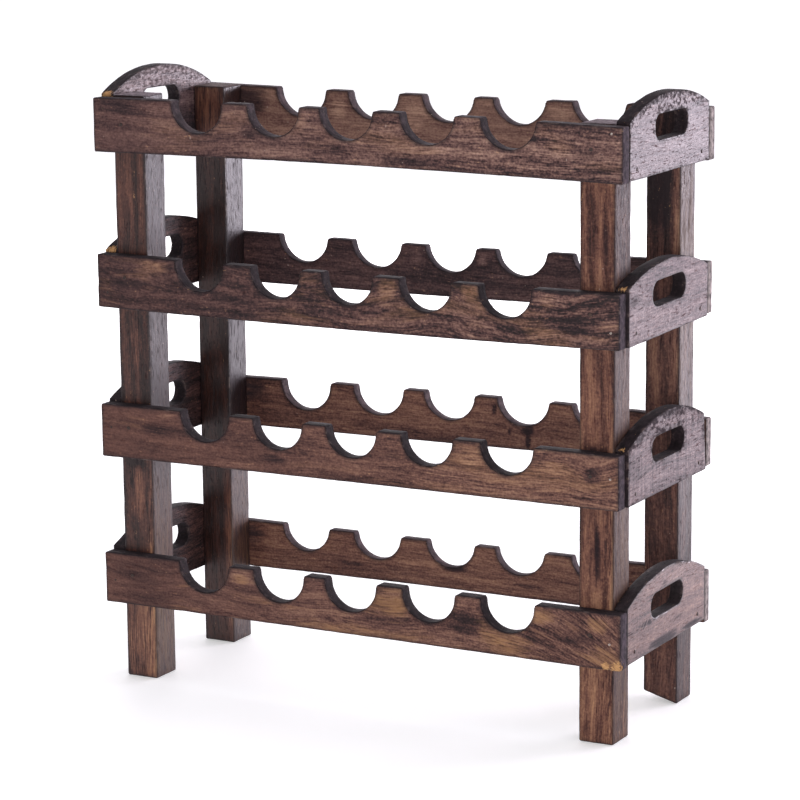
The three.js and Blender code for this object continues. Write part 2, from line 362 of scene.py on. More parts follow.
# White floor that glows a little, and a little more where the camera sees it
FLOOR_REACH = 12.0
FLOOR = Values(
    tint=(0.92, 0.92, 0.92, 1), roughness=0.9, shine=0.1, glow_tint=(0.96, 1, 0.97, 1), glow=0.18,
    seen_glow=0.12)

# Studio: how bright the room is from its front to its back, how much its top adds, and its softboxes
ROOM_TINT = (0.97, 0.93, 1, 1)
ROOM_DEPTH = Values(span=(-0.3, 0.7), glow=(0.18, 0.9))
ROOM_TOP = Values(span=(0.2, 1.0), glow=(0.0, 0.7))
SOFTBOXES = {
    "side_softbox": dict(
        position=(2.6, 4.0, 0.9), target=(0, 0, 0.35), size=(2.4, 2.0), power=195, tint=(0.94, 0.87, 1.0)),
    "back_softbox": dict(
        position=(-1.9, 3.6, 1.2), target=(0, 0, 0.4), size=(2.5, 1.2), power=70, tint=(1.0, 0.95, 0.98)),
    "low_softbox": dict(
        position=(1.1, 1, 0.12), target=(0.3, 0, 0.2), size=(1, 0.2), power=5.5, tint=(0.95, 0.88, 0.97)),
    "front_softbox": dict(
        position=(1.0, -3.2, 0.6), target=(0, 0, 0.1), size=(1.8, 0.9), power=45, tint=(1, 1, 1)),
}

# The photograph's camera: degrees round the rack, above the floor and about its own axis, its distance from
# the point that it looks at, and its focal length in pixels of the image
CAMERA = Values(
    azimuth=28.21, elevation=11.29, roll=-0.52, distance=3772 * MM, target=(-3.9 * MM, 0, 349 * MM),
    focal_pixels=3191)
IMAGE_PIXELS = 800
SENSOR_WIDTH = 36


# Outlines

def arc(centre, radius, start, end, steps):
    angles = np.linspace(start, end, steps + 1)
    return np.stack([centre[0] + radius * np.cos(angles), centre[1] + radius * np.sin(angles)], axis=1)


def subdivided(line, step):
    """The same line with points added so that no two neighbours are further apart than step."""
    points = [line[0]]
    for a, b in zip(line[:-1], line[1:]):
        parts = max(1, math.ceil(np.linalg.norm(b - a) / step))
        points += [a + (b - a) * k / parts for k in range(1, parts + 1)]
    return np.array(points)


def spread(length, step):
    """Distances from 0 to length, with a point close to either end for the rounded corner."""
    parts = max(2, round((length - 2 * CORNER) / step))
    return np.concatenate([[0], np.linspace(CORNER, length - CORNER, parts + 1), [length]])


def bent(offsets, x, length):
    """Height at x of the curve through three offsets: at the left end, the middle and the right end."""
    left, middle, right = offsets
    share = x / length + 0.5
    ends = left * (1 - share) * (1 - 2 * share) + right * share * (2 * share - 1)
    return MM * (ends + middle * 4 * share * (1 - share))


def notch(x, height, radius, depth):
    """One notch from the crown of its left tooth to that of its right one."""
    rise = radius - depth
    shoulder = height - TOOTH_ROUNDING
    reach = math.sqrt((radius + TOOTH_ROUNDING) ** 2 - (rise + TOOTH_ROUNDING) ** 2)
    lean = math.atan2(rise + TOOTH_ROUNDING, reach)
    left = arc((x - reach, shoulder), TOOTH_ROUNDING, math.pi / 2, lean, TOOTH_STEPS)
    hollow = arc((x, height + rise), radius, math.pi + lean, 2 * math.pi - lean, NOTCH_STEPS)
    right = arc((x + reach, shoulder), TOOTH_ROUNDING, math.pi - lean, math.pi / 2, TOOTH_STEPS)
    return [left, hollow[1:-1], right]


def rail_top(length, height, cut):
    """A rail's notched upper edge from left to right."""
    left_end = -length / 2
    right_end = length / 2 - cut.get("trim", 0) * MM
    pieces = [np.array([[left_end, height], [left_end + CORNER, height]])]
    for n, shift in enumerate(cut["shifts"]):
        depth = MM * np.interp(n, (0, NOTCH_COUNT - 1), cut["depth"])
        x = FIRST_NOTCH - length / 2 + n * NOTCH_PITCH + shift * MM
        pieces += notch(x, height, cut["radius"] * MM, depth)
    pieces.append(np.array([[right_end - CORNER, height], [right_end, height]]))
    return subdivided(np.concatenate(pieces), EDGE_STEP)


def rounded_corners(grid):
    """Pulls a patch's four corner points in, so that each corner turns on a small arc."""
    pull = CORNER * (1 - math.sqrt(0.5))
    for i, j, x, z in ((0, 0, 1, 1), (-1, 0, -1, 1), (-1, -1, -1, -1), (0, -1, 1, -1)):
        grid[i, j] += (x * pull, z * pull)
    return grid


# A face has points, four-sided cells, edge loops with the wood on their left, and how each point was
# sawn: 1 along the grain, 2 across it and 0 not at all

def patch_face(grid, sawn_top=False):
    """The face of a patch of columns by rows, with sawn ends and perhaps a sawn upper edge."""
    columns, rows = grid.shape[:2]
    index = np.arange(columns * rows).reshape(columns, rows)
    corners = [index[:-1, :-1], index[1:, :-1], index[1:, 1:], index[:-1, 1:]]
    cells = np.stack(corners, axis=-1).reshape(-1, 4)
    loop = np.concatenate([index[:, 0], index[-1, 1:], index[-2::-1, -1], index[0, -2:0:-1]])
    sawn = np.zeros(columns * rows)
    if sawn_top:
        sawn[index[:, -1]] = 1
    sawn[index[[0, -1]]] = 2
    return Values(points=grid.reshape(-1, 2), cells=cells, loops=[loop], sawn=sawn)


def ring_face(hole, outer, shares):
    """The face between a hole and an outline with as many points, both anticlockwise."""
    grid = hole[:, None] + (outer - hole)[:, None] * np.asarray(shares)[None, :, None]
    columns, rows = grid.shape[:2]
    index = np.arange(columns * rows).reshape(columns, rows)
    after = np.roll(index, -1, axis=0)
    cells = np.stack([index[:, :-1], index[:, 1:], after[:, 1:], after[:, :-1]], axis=-1).reshape(-1, 4)
    sawn = np.zeros(columns * rows)
    sawn[index[:, [0, -1]]] = 1
    loops = [index[:, -1], index[::-1, 0]]
    return Values(points=grid.reshape(-1, 2), cells=cells, loops=loops, sawn=sawn)


def rail_face(length, height, cut):
    top = rail_top(length, height, cut)
    top[:, 1] += bent(cut["top"], top[:, 0], length)
    bottom = np.stack([top[:, 0], bent(cut["bottom"], top[:, 0], length)], axis=1)
    shares = spread(height, FACE_STEP) / height
    grid = bottom[:, None] + (top - bottom)[:, None] * shares[None, :, None]
    return patch_face(rounded_corners(grid), sawn_top=True)


def post_face(length, width, foot_slant):
    """A post lying along x; foot_slant lifts its foot on one side."""
    along = spread(length, POST_STEP)
    across = spread(width, FACE_STEP) - width / 2
    grid = np.stack(np.meshgrid(along, across, indexing="ij"), axis=-1)
    lift = foot_slant * (0.5 - grid[..., 1] / width)
    grid[..., 0] += lift * (1 - grid[..., 0] / length) ** FOOT_SLANT_POWER
    return patch_face(rounded_corners(grid))


def panel_outline(length, edge_height, arch_rise):
    """An end panel's outline from its lower left corner round to it again, with an arched top."""
    half = length / 2
    radius = (half ** 2 + arch_rise ** 2) / (2 * arch_rise)
    lean = math.asin(half / radius)
    crown_centre = (0, edge_height + arch_rise - radius)
    arch = arc(crown_centre, radius, math.pi / 2 - lean, math.pi / 2 + lean, ARCH_STEPS)
    bottom_left = arc((-half + CORNER, CORNER), CORNER, math.pi, 1.5 * math.pi, CORNER_STEPS)
    bottom_right = arc((half - CORNER, CORNER), CORNER, 1.5 * math.pi, 2 * math.pi, CORNER_STEPS)
    outline = np.concatenate([bottom_left, bottom_right, arch, bottom_left[:1]])
    return subdivided(outline, EDGE_STEP)[:-1]


def panel_face(length, rail_height, shape):
    """An end panel with an arched top and a hand hole, its points in line with the outline's."""
    half = length / 2
    edge_height = rail_height + PANEL_EDGE_RISE
    outer = panel_outline(length, edge_height, shape["arch"] * MM - PANEL_EDGE_RISE)
    share = np.clip(outer[:, 1] / edge_height, 0, 1)
    outer[:, 0] -= shape["back_slant"] * MM * share * (outer[:, 0] > 0) * outer[:, 0] / half
    outer[:, 1] += shape["back_rise"] * MM * share * (0.5 + outer[:, 0] / length)
    hole_length, hole_shift, hole_rise = np.array(shape["hole"]) * MM
    corner = shape["hole_corner"] * MM
    core_middle = np.array([hole_shift, HAND_HOLE_CENTRE + hole_rise])
    core_reach = np.array([hole_length, HAND_HOLE_HEIGHT]) / 2 - corner
    core = np.clip(outer, core_middle - core_reach, core_middle + core_reach)
    outwards = outer - core
    outwards /= np.linalg.norm(outwards, axis=1, keepdims=True)
    opening = core + outwards * corner
    for line in (outer, opening):
        line[:, 1] += shape["front_lift"] * MM * (0.5 - line[:, 0] / length)
    return ring_face(opening, outer, PANEL_RINGS)


# Boards

def new_object(name, data):
    made = bpy.data.objects.new(name, data)
    bpy.context.scene.collection.objects.link(made)
    return made


def steady_noise(points, size, seed):
    """Smooth noise from -1 to 1 at each point, with features of about the given size."""
    shift = Vector([seed * step for step in WEAR_SEED_STEPS])
    return np.array([noise.noise(Vector(p) / size + shift) for p in points])


def loop_normals(points):
    """Directions into the wood along a closed edge loop that has the wood on its left."""
    along = np.roll(points, -1, axis=0) - np.roll(points, 1, axis=0)
    into = np.stack([-along[:, 1], along[:, 0]], axis=1)
    return into / np.linalg.norm(into, axis=1, keepdims=True)


def worn_edge(points, seed):
    """An edge loop with the saw's chatter, the directions into the wood, and its arris's radius."""
    into = loop_normals(points)
    chatter = steady_noise(np.insert(points, 1, 0, axis=1), CHATTER_SIZE, seed)
    edge = points + into * (CHATTER * (1 + chatter))[:, None]
    wear = steady_noise(np.insert(edge, 1, 0, axis=1), ARRIS_SIZE, seed + 1)
    return edge, into, (ARRIS * (1 + ARRIS_SPREAD * wear))[:, None]


def wall_rings(radius, thickness):
    """Inset, depth and wear of each ring of points round a board's edge, from its front to its back."""
    flush = 0 * radius
    inset = ARRIS_INSET * radius
    steps = max(2, round(thickness / WALL_STEP))
    rings = [(inset, inset, 1.0), (flush, radius, 0.5)]
    rings += [(flush, radius + (thickness - 2 * radius) * k / steps, 0.0) for k in range(1, steps)]
    return rings + [(flush, thickness - radius, 0.5), (inset, thickness - inset, 1.0)]


def wall_cells(ring, next_ring):
    return np.stack([ring, next_ring, np.roll(next_ring, -1), np.roll(ring, -1)], axis=1)


def rim_share(face):
    """How near each face point is to an edge: 1 on it and 0 from RIM_WIDTH inwards."""
    edges = face.points[np.concatenate(face.loops)]
    nearest = [np.min(np.linalg.norm(edges - point, axis=1)) for point in face.points]
    return np.clip(1 - np.array(nearest) / RIM_WIDTH, 0, 1)


def add_attributes(mesh, **attributes):
    for name, values in attributes.items():
        mesh.attributes.new(name, "FLOAT", "POINT").data.foreach_set("value", values.astype(np.float32))


def board_mesh(name, face, thickness, seed):
    """A solid board: two worn faces, and walls with rounded arrises all round every loop."""
    count = len(face.points)
    flat = face.points.copy()
    walls, arris, sawn = [], [np.zeros(2 * count)], [np.zeros(2 * count)]
    cells = [face.cells, face.cells[:, ::-1] + count]
    start = 2 * count
    for loop in face.loops:
        edge, into, radius = worn_edge(face.points[loop], seed)
        flat[loop] = edge + into * radius
        arris[0][loop] = arris[0][loop + count] = 0.5
        previous = loop
        for inset, depth, worn in wall_rings(radius, thickness):
            ring = edge + into * inset
            walls.append(np.stack([ring[:, 0], depth[:, 0] - thickness / 2, ring[:, 1]], axis=1))
            arris.append(np.full(len(loop), worn))
            sawn.append(face.sawn[loop])
            current = start + np.arange(len(loop))
            start += len(loop)
            cells.append(wall_cells(previous, current))
            previous = current
        cells.append(wall_cells(previous, loop + count))
    sides = [np.insert(flat, 1, y, axis=1) for y in (-thickness / 2, thickness / 2)]
    mesh = bpy.data.meshes.new(name)
    mesh.from_pydata(np.concatenate(sides + walls).tolist(), [], np.concatenate(cells).tolist())
    mesh.shade_smooth()
    rim = [rim_share(face)] * 2 + [np.ones(len(ring)) for ring in walls]
    add_attributes(mesh, arris=np.concatenate(arris), sawn=np.concatenate(sawn), rim=np.concatenate(rim))
    return mesh


def mesh_array(source, name, count, width=1):
    """A value of every point, from a mesh's vertices or an attribute's data."""
    values = np.zeros(count * width, np.float32)
    source.foreach_get(name, values)
    return values.reshape(-1, width) if width > 1 else values


def nearness(points, centre, radius):
    """1 at the centre, falling to 0 at the radius."""
    return np.clip(1 - (np.linalg.norm(points - np.array(centre), axis=1) / radius) ** 2, 0, 1)


def mark_shares(points, marks):
    """How light each point is, from its stain and from painted light and shade, and how far its grain is
    bent by knots.
    """
    lightness = np.zeros(len(points))
    bend = np.zeros(len(points))
    for light, along, across, radius, stretch in marks:
        flat = points * np.array([1 / stretch, 0, 1])
        centre = Vector((along / stretch, 0, across)) * MM
        lightness += light * nearness(flat, centre, radius * MM)
        if light < 0 and 1 / KNOT_ROUNDNESS <= stretch <= KNOT_ROUNDNESS:
            bend += KNOT_BEND * radius * MM * nearness(flat, centre, KNOT_REACH * radius * MM) ** 2
    return lightness, bend


def weather(mesh, matrix, seed, nails, chips, marks):
    """Makes the faces uneven, wears the arrises, presses in dents and chips, and notes chips and marks."""
    count = len(mesh.vertices)
    points = mesh_array(mesh.vertices, "co", count, 3)
    normals = mesh_array(mesh.vertices, "normal", count, 3)
    arris = mesh_array(mesh.attributes["arris"].data, "value", count)
    stretched = points / np.array([UNEVENNESS_STRETCH, 1, 1])
    depth = UNEVENNESS * (0.5 + 0.5 * steady_noise(stretched, UNEVENNESS_SIZE, seed))
    wear = steady_noise(points, EDGE_WEAR_SIZE, seed + 2) - EDGE_WEAR_START
    depth += EDGE_WEAR * arris * np.clip(wear, 0, 1)
    into = matrix.inverted()
    for head in nails:
        depth += DENT_DEPTH * nearness(points, into @ head, DENT_RADIUS)
    bare = np.zeros(count)
    for x, y, z, radius in chips:
        share = nearness(points, into @ (Vector((x, y, z)) * MM), radius * MM)
        depth += CHIP_DEPTH * share * arris.clip(CHIP_FACE_SHARE, 1)
        bare = np.maximum(bare, np.sqrt(share))
    lightness, bend = mark_shares(points, marks)
    mesh.vertices.foreach_set("co", (points - normals * depth[:, None]).astype(np.float32).ravel())
    add_attributes(mesh, bare=bare, lightness=lightness, bend=bend)
    mesh.update()


# Shader nodes

def colour(red, green, blue):
    """Linear colour of a screen colour given from 0 to 255."""
    def linear(value):
        share = value / 255
        return share / 12.92 if share <= 0.04045 else ((share + 0.055) / 1.055) ** 2.4
    return (linear(red), linear(green), linear(blue), 1)


def mixed(first, second, share):
    return tuple(a + (b - a) * share for a, b in zip(first, second))


class Nodes:
    """Adds nodes to a shader tree; each value may be a number, a colour or another node's output."""

    def __init__(self, tree):
        self.tree = tree

    def feed(self, node, inputs):
        """Links or sets a node's inputs by their names or numbers."""
        for key, value in inputs.items():
            if isinstance(value, bpy.types.NodeSocket):
                self.tree.links.new(value, node.inputs[key])
            else:
                node.inputs[key].default_value = value
        return node

    def add(self, kind, inputs=None, **settings):
        made = self.tree.nodes.new(kind)
        for key, value in settings.items():
            setattr(made, key, value)
        return self.feed(made, inputs or {})

    def maths(self, kind, *values):
        return self.add("ShaderNodeMath", dict(enumerate(values)), operation=kind).outputs[0]

    def vector(self, kind, *values):
        return self.add("ShaderNodeVectorMath", dict(enumerate(values)), operation=kind).outputs[0]

    def attribute(self, name):
        return self.add("ShaderNodeAttribute", attribute_name=name).outputs["Fac"]

    def noise(self, place, along, across, detail, rough, output="Fac"):
        scaled = self.vector("MULTIPLY", place, (along, across, across))
        inputs = {"Vector": scaled, "Scale": 1.0, "Detail": detail, "Roughness": rough}
        return self.add("ShaderNodeTexNoise", inputs).outputs[output]

    def remap(self, value, span, to_low=0.0, to_high=1.0):
        """Takes a span of the value to the range from to_low to to_high, and stays inside it."""
        low, high = span
        inputs = {"Value": value, "From Min": low, "From Max": high, "To Min": to_low, "To Max": to_high}
        return self.add("ShaderNodeMapRange", inputs, clamp=True).outputs["Result"]

    def blend(self, factor, first, second):
        return self.add("ShaderNodeMix", {0: factor, 6: first, 7: second}, data_type="RGBA").outputs[2]

    def ramp(self, value, positions, tints):
        made = self.add("ShaderNodeValToRGB", {"Fac": value})
        elements = made.color_ramp.elements
        while len(elements) < len(positions):
            elements.new(0.5)
        for element, position, tint in zip(elements, positions, tints):
            element.position = position
            element.color = tint
        return made.outputs["Color"]


def new_material(name):
    """A material, the maker of its nodes, and its surface shader."""
    made = bpy.data.materials.new(name)
    made.use_nodes = True
    return made, Nodes(made.node_tree), made.node_tree.nodes["Principled BSDF"]


# Wood

def grain_place(n, place, along, look):
    """A place in the wood whose grain wanders, sweeps down near the board's end and bends round knots."""
    drift = n.noise(place, *DRIFT, output="Color")
    swayed = n.vector("MULTIPLY_ADD", drift, (0.0, look.wave, look.wave), place)
    near_end = n.maths("MAXIMUM", n.maths("SUBTRACT", along, SWEEP_START), 0.0)
    swept = n.maths("MULTIPLY", n.maths("POWER", near_end, 2.0), look.sweep)
    bend = n.maths("ADD", n.attribute("bend"), swept)
    return n.vector("ADD", swayed, n.add("ShaderNodeCombineXYZ", {"Z": bend}).outputs[0])


def growth_rings(n, grain, seed):
    pith = (0, PITH.nearest + seed % PITH.places * PITH.step, PITH.height)
    inputs = {"Vector": grain, "Location": pith, "Rotation": PITH.tilt}
    place = n.add("ShaderNodeMapping", inputs).outputs[0]
    rings = {"Vector": place} | RINGS
    return n.add("ShaderNodeTexWave", rings, wave_type="RINGS", rings_direction="X").outputs["Fac"]


def wood_layers(n, seed, look):
    """The places, noises and board attributes that the wood is mixed from."""
    local = n.add("ShaderNodeTexCoord").outputs["Object"]
    axes = n.add("ShaderNodeSeparateXYZ", {0: local}).outputs
    place = n.vector("ADD", local, [seed * step for step in WOOD_SEED_STEPS])
    grain = grain_place(n, place, axes["X"], look)
    strength = n.remap(axes["X"], CALM_SPAN, look.contrast * (1 - look.calm), look.contrast)
    layer = Values(place=place, height=axes["Z"], strength=strength, rings=growth_rings(n, grain, seed))
    for name, settings in GRAIN_LAYERS.items():
        setattr(layer, name, n.noise(grain, *settings))
    for name, settings in FLAT_LAYERS.items():
        setattr(layer, name, n.noise(place, *settings))
    for name in BOARD_ATTRIBUTES:
        setattr(layer, name, n.attribute(name))
    return layer


def stain_and_painted_light_tint(n, layer, look):
    """The stain's colour from the layers of grain and the board's marks, with the painted light and shade
    that some marks and tones carry.
    """
    boost = dict(flecks=look.fleck, specks=look.speckle, rings=look.figure, saw_lines=look.saw)
    weights = {name: weight * boost.get(name, 1) for name, weight in GRAIN_WEIGHTS.items()}
    total = -sum(weights.values()) / 2
    for name, weight in weights.items():
        total = n.maths("MULTIPLY_ADD", getattr(layer, name), weight, total)
    shade = n.maths("MULTIPLY_ADD", total, layer.strength, MIDDLE_SHADE + look.tone)
    uptake = n.remap(n.maths("ADD", layer.stains, layer.fibres), MARK_UPTAKE.span, 0.0, MARK_UPTAKE.most)
    shade = n.maths("MULTIPLY_ADD", layer.lightness, uptake, shade)
    tints = [colour(*mixed(purple, red, look.warm)) for purple, red in zip(PURPLE_STAIN, RED_STAIN)]
    return n.ramp(shade, STAIN_SHADES, tints)


def gilded(n, layer, look, tint):
    """Adds golden patches, streaked along the fibres and likeliest where a mark is light."""
    lit = n.maths("MULTIPLY_ADD", layer.streaks, GOLD.streaks, layer.gilding)
    lit = n.maths("MULTIPLY_ADD", layer.lightness, GOLD.marks, lit)
    patch = n.remap(lit, GOLD.span, 0.0, look.gold)
    streaked = n.maths("MULTIPLY", patch, n.remap(layer.fibres, GOLD.fibre_span, GOLD.least, 1.0))
    return n.blend(streaked, tint, colour(*GOLD.tint))


def pit_share(n, layer, look):
    """Where dark pores and cracks lie along the grain."""
    pore_span = [limit + PITS.pore_growth * look.dark for limit in PITS.pore_span]
    crack_span = [limit + PITS.crack_growth * look.dark for limit in PITS.crack_span]
    pores = n.remap(layer.pores, pore_span, 1.0, 0.0)
    return n.maths("MAXIMUM", pores, n.remap(layer.fibres, crack_span, 1.0, 0.0))


def black_share(n, layer, look):
    """Where the wood is blackened: by the stain in patches, at knots and along a mottled panel's arch, and
    at the heart of the darkest marks, painted shade among them.
    """
    span = [limit - BLACK.growth * look.dark for limit in BLACK.span]
    spill = n.maths("MULTIPLY_ADD", layer.fibres, BLACK.fibres, layer.stains)
    black = n.maths("MULTIPLY", n.remap(spill, span, 0.0, BLACK.most), layer.strength)
    streaky = n.maths("MULTIPLY_ADD", layer.fibres, KNOTS_AND_DARK_HEARTS.fibres, layer.stains)
    dark_heart = n.maths("MULTIPLY_ADD", streaky, KNOTS_AND_DARK_HEARTS.stains, layer.lightness)
    black = n.maths("MAXIMUM", black, n.remap(dark_heart, KNOTS_AND_DARK_HEARTS.span, KNOTS_AND_DARK_HEARTS.most, 0.0))
    if look.mottle:
        upper = n.remap(layer.height, MOTTLE.heights, 0.0, MOTTLE.rise)
        near_edge = n.maths("MULTIPLY_ADD", layer.rim, MOTTLE.rim, upper)
        spots = n.maths("ADD", n.noise(layer.place, *MOTTLING), near_edge)
        black = n.maths("MAXIMUM", black, n.remap(spots, MOTTLE.span, 0.0, look.mottle))
    return black


def edged(n, layer, look, tint):
    """Gathers stain along the edges, and gives sawn edges, end grain and worn arrises their own tints;
    rubbed arrises turn paler, partly as a painted highlight along the edges.
    """
    gathered = n.maths("MULTIPLY_ADD", layer.stains, RIM.stains, layer.rim)
    tint = n.blend(n.remap(gathered, RIM.span, 0.0, RIM.most), tint, colour(*RIM.tint))
    scuffs = n.remap(layer.rubbing, SAWN.scuffs)
    for span, edge_tint in ((SAWN.span, look.sawn_tint), (SAWN.end_span, look.end_tint)):
        dim, bright = ([share * value for value in edge_tint] for share in (SAWN.dim, SAWN.bright))
        scuffed = n.blend(scuffs, colour(*dim), colour(*bright))
        tint = n.blend(n.remap(layer.sawn, span, 0.0, SAWN.most), tint, scuffed)
    tint = n.blend(n.maths("MULTIPLY", layer.arris, ARRISES.share), tint, colour(*ARRISES.tint))
    rubbed = n.maths("MULTIPLY", layer.arris, n.remap(layer.rubbing, ARRISES.rub_span, 0.0, ARRISES.rub))
    return n.blend(rubbed, tint, colour(*ARRISES.rubbed))


def dusted_and_chipped(n, layer, tint):
    """Adds pale specks of dust, and bare wood where the surface has broken off."""
    dust = n.remap(layer.dust, DUST.span, 0.0, DUST.most)
    tint = n.blend(dust, tint, colour(*DUST.tint))
    ragged = n.maths("MULTIPLY_ADD", n.maths("ADD", layer.specks, layer.flecks), BARE.specks, layer.bare)
    bare_wood = n.blend(layer.fibres, colour(*BARE.dim), colour(*BARE.bright))
    return n.blend(n.remap(ragged, BARE.span), tint, bare_wood)


def wood_roughness(n, layer, look, spots):
    """A hazy finish, broken by specks and the saw's lines, and dull in dark spots and on sawn edges."""
    gloss = GLOSS.dull - GLOSS.haze * look.haze
    speck_span = [limit + look.saw for limit in GLOSS.speck_span]
    sawn_streaks = n.maths("MULTIPLY_ADD", layer.saw_lines, GLOSS.saw * look.saw, layer.streaks)
    smooth = n.maths("ADD", sawn_streaks, n.maths("ADD", layer.specks, layer.flecks))
    rough_specks = n.remap(smooth, speck_span, gloss + GLOSS.specks * min(look.contrast, 1), gloss)
    dull = n.maths("MULTIPLY_ADD", layer.sawn, GLOSS.sawn, spots)
    return n.maths("MULTIPLY_ADD", dull, GLOSS.spots, rough_specks)


def wood_bump(n, layer, look):
    height = n.maths("MULTIPLY", layer.streaks, GROOVES.streaks)
    height = n.maths("MULTIPLY_ADD", layer.fibres, GROOVES.fibres, height)
    height = n.maths("MULTIPLY_ADD", layer.flecks, GROOVES.flecks, height)
    inputs = {"Height": height, "Strength": look.groove, "Distance": GROOVES.depth}
    return n.add("ShaderNodeBump", inputs).outputs[0]


def wood(name, seed, look):
    """Dark-stained wood with its grain along x."""
    made, n, shader = new_material(name)
    layer = wood_layers(n, seed, look)
    tint = gilded(n, layer, look, stain_and_painted_light_tint(n, layer, look))
    pits = pit_share(n, layer, look)
    pit_strength = PITS.share + PITS.share_growth * look.dark
    tint = n.blend(n.maths("MULTIPLY", pits, pit_strength), tint, colour(*PITS.tint))
    black = black_share(n, layer, look)
    tint = n.blend(black, tint, colour(*BLACK.tint))
    tint = edged(n, layer, look, tint)
    n.feed(shader, {
        "Base Color": dusted_and_chipped(n, layer, tint),
        "Roughness": wood_roughness(n, layer, look, n.maths("MAXIMUM", black, pits)),
        "Normal": wood_bump(n, layer, look),
        "Specular IOR Level": look.shine})
    return made


# Putting the boards where the frame has them

def size_and_middle(node):
    """The size of a node's box, and the middle of its underside."""
    low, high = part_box(node)
    return high - low, Vector(((low.x + high.x) / 2, (low.y + high.y) / 2, low.z))


def add_board(node, face, thickness, matrix, seed, look):
    mesh = board_mesh(node, face, thickness, seed)
    heads = [nail_head(nail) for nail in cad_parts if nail.endswith("_nail")]
    near = [head for head in heads if holds(node, head)]
    weather(mesh, matrix, seed, near, CHIPS.get(node, ()), MARKS.get(node, ()))
    mesh.materials.append(wood(node + "_wood", seed, look))
    piece = new_object(node + "_board", mesh)
    piece.matrix_world = matrix
    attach(piece, "root")
    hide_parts(node)


def thinness(board):
    """How much thinner a rail is than the frame's; no other board is."""
    return RAIL_CUTS.get(board, {}).get("thin", 0) * MM


def add_rail(node, seed, look):
    size, middle = size_and_middle(node)
    thin = thinness(node)
    face = rail_face(size.x, size.z, RAIL_CUTS[node])
    matrix = Matrix.Translation((middle.x, middle.y - thin / 2, middle.z))
    add_board(node, face, size.y - thin, matrix, seed, look)


def add_panel(node, seed, look):
    size, middle = size_and_middle(node)
    rail_size, _ = size_and_middle("tier_1_front_rail")
    kind = "left_panel" if "left" in node else "right_panel"
    shape = PLAIN_PANEL | PANEL_SHAPES[kind] | PANEL_SHAPES.get(node, {})
    face = panel_face(size.y, rail_size.z, shape)
    matrix = Matrix.Translation(middle) @ Matrix.Rotation(math.pi / 2, 4, "Z")
    add_board(node, face, size.x, matrix, seed, look)


def add_post(node, seed, look):
    size, middle = size_and_middle(node)
    face = post_face(size.z + POST_TOP_RISES.get(node, 0), size.x, FOOT_SLANTS.get(node, 0))
    standing = Matrix(((0, 0, 1, 0), (0, -1, 0, 0), (1, 0, 0, 0), (0, 0, 0, 1)))
    add_board(node, face, size.y, Matrix.Translation(middle) @ standing, seed, look)


def add_boards():
    boards = [(add_post, f"{face}_{side}_post", "post") for face in FACES for side in SIDES]
    for tier in range(1, TIER_COUNT + 1):
        boards += [(add_rail, f"tier_{tier}_{face}_rail", f"{face}_rail") for face in FACES]
        boards += [(add_panel, f"tier_{tier}_{side}_end_panel", f"{side}_panel") for side in SIDES]
    for seed, (add_kind, node, kind) in enumerate(boards, 1):
        look = Values(**(PLAIN_WOOD | LOOKS[kind] | LOOKS.get(node, {})))
        add_kind(node, seed, look)


# Nails

def holds(node, point):
    """Whether a point lies on or in a node's box."""
    low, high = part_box(node)
    return all(a - NAIL_FIT <= p <= b + NAIL_FIT for a, p, b in zip(low, point, high))


def nail_axis(node):
    """The outward direction of a nail's head."""
    if "rail_nail" in node:
        return Vector((0, -1 if "front" in node else 1, 0))
    return Vector((-1 if "left" in node else 1, 0, 0))


def nail_head(node):
    """Middle of a nail's head, on the face of its board."""
    low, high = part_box(node)
    outward = nail_axis(node)
    middle = (low + high) / 2
    head = Vector([(h if o > 0 else l) if o else m for l, h, m, o in zip(low, high, middle, outward)])
    rail = node.replace("_left_rail_nail", "_rail").replace("_right_rail_nail", "_rail")
    return head - outward * thinness(rail)


def steel(name, tints):
    """Hammered iron with rust and stain in its face."""
    made, n, shader = new_material(name)
    place = n.add("ShaderNodeNewGeometry").outputs["Position"]
    rust = n.noise(place, *RUST)
    bump = {"Height": rust, "Strength": STEEL.bump, "Distance": STEEL.depth}
    n.feed(shader, {
        "Base Color": n.ramp(rust, STEEL.stops, [colour(*tint) for tint in tints]),
        "Roughness": n.remap(rust, STEEL.rust_span, *STEEL.roughness),
        "Normal": n.add("ShaderNodeBump", bump).outputs[0],
        "Metallic": STEEL.metal})
    return made


def nail_mesh(name, head_radius, material):
    """A nail along z with its tip below, and a domed head that stands a little above 0."""
    neck, underside, edge, crown = (level * head_radius for level in NAIL_HEAD_LEVELS)
    profile = (
        (NAIL_TIP, -NAIL_LENGTH), (NAIL_SHANK, -NAIL_TAPER_START * NAIL_LENGTH), (NAIL_SHANK, neck),
        (head_radius, underside), (head_radius, edge), (NAIL_CROWN * head_radius, crown))
    turns = np.linspace(0, 2 * math.pi, NAIL_SIDES, endpoint=False)
    points = [(r * math.cos(turn), r * math.sin(turn), z) for r, z in profile for turn in turns]
    rings = np.arange(len(points)).reshape(len(profile), NAIL_SIDES)
    cells = [wall_cells(upper, lower).tolist() for upper, lower in zip(rings[1:], rings[:-1])]
    mesh = bpy.data.meshes.new(name)
    mesh.from_pydata(points, [], sum(cells, [rings[-1].tolist(), rings[0, ::-1].tolist()]))
    mesh.materials.append(material)
    return mesh


def add_nail(name, mesh, head, outward):
    piece = new_object(name, mesh)
    piece.matrix_world = Matrix.Translation(head) @ outward.to_track_quat("Z", "Y").to_matrix().to_4x4()
    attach(piece, "root")
    return piece


